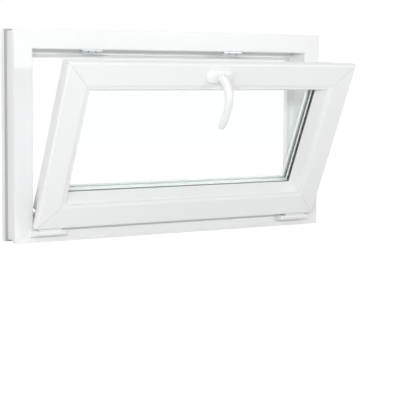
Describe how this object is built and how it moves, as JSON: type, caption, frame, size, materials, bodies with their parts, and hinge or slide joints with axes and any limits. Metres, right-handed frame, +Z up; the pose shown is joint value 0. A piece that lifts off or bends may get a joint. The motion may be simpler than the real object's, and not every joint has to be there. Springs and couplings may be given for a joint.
{
  "type": "hopper window",
  "caption": "Bottom-hung hopper window: a mitred white plastic frame with a double-glazed sash that tilts into the room on barrel hinges, with a lever handle on its top rail.",
  "frame": {"origin": "on the underside of the sill, at mid-width, in the middle of the land behind its room face", "axes": "+X right as seen from the room, +Y outdoors, +Z up"},
  "size_m": [0.87, 0.301, 0.49],
  "materials": {
    "profile_white": "satin white plastic profile",
    "seal_grey": "soft grey seal",
    "gasket_dark": "matt dark gasket",
    "glass": "clear float glass",
    "spacer": "mill aluminium",
    "zinc": "bright zinc plating",
    "hinge_white": "white powder coat",
    "handle_white": "white lacquer"
  },
  "bodies": {
    "frame": {"frame_head": "profile_white", "frame_sill": "profile_white", "frame_left_jamb": "profile_white", "frame_right_jamb": "profile_white", "frame_seal": "seal_grey", "striker_left": "zinc", "striker_right": "zinc", "hinge_left_frame_leaf": "hinge_white", "hinge_left_pin": "hinge_white", "hinge_right_frame_leaf": "hinge_white", "hinge_right_pin": "hinge_white"},
    "sash": {"sash_top_rail": "profile_white", "sash_bottom_rail": "profile_white", "sash_left_stile": "profile_white", "sash_right_stile": "profile_white", "sash_seal": "seal_grey", "glass_room_pane": "glass", "glass_outdoor_pane": "glass", "glass_spacer": "spacer", "bead_gasket": "gasket_dark", "rebate_gasket": "gasket_dark", "bead_bottom": "profile_white", "bead_top": "profile_white", "bead_left": "profile_white", "bead_right": "profile_white", "drive_rod": "zinc", "lock_faceplate": "zinc", "lock_cam_left": "zinc", "lock_cam_right": "zinc", "handle_rosette": "handle_white", "hinge_left_sash_leaf": "hinge_white", "hinge_right_sash_leaf": "hinge_white"},
    "handle": {"handle_lever": "handle_white"}
  },
  "joints": [
    {"name": "sash_tilt", "type": "hinge", "parent": "frame", "child": "sash", "pos_m": [0, -0.02075, 0.022], "axis": [1, 0, 0], "range_deg": [-24, 0]},
    {"name": "handle_turn", "type": "hinge", "parent": "sash", "child": "handle", "pos_m": [0, -0.19258, 0.38335], "axis": [0, -0.9135, -0.4067], "range_deg": [0, 90]}
  ]
}
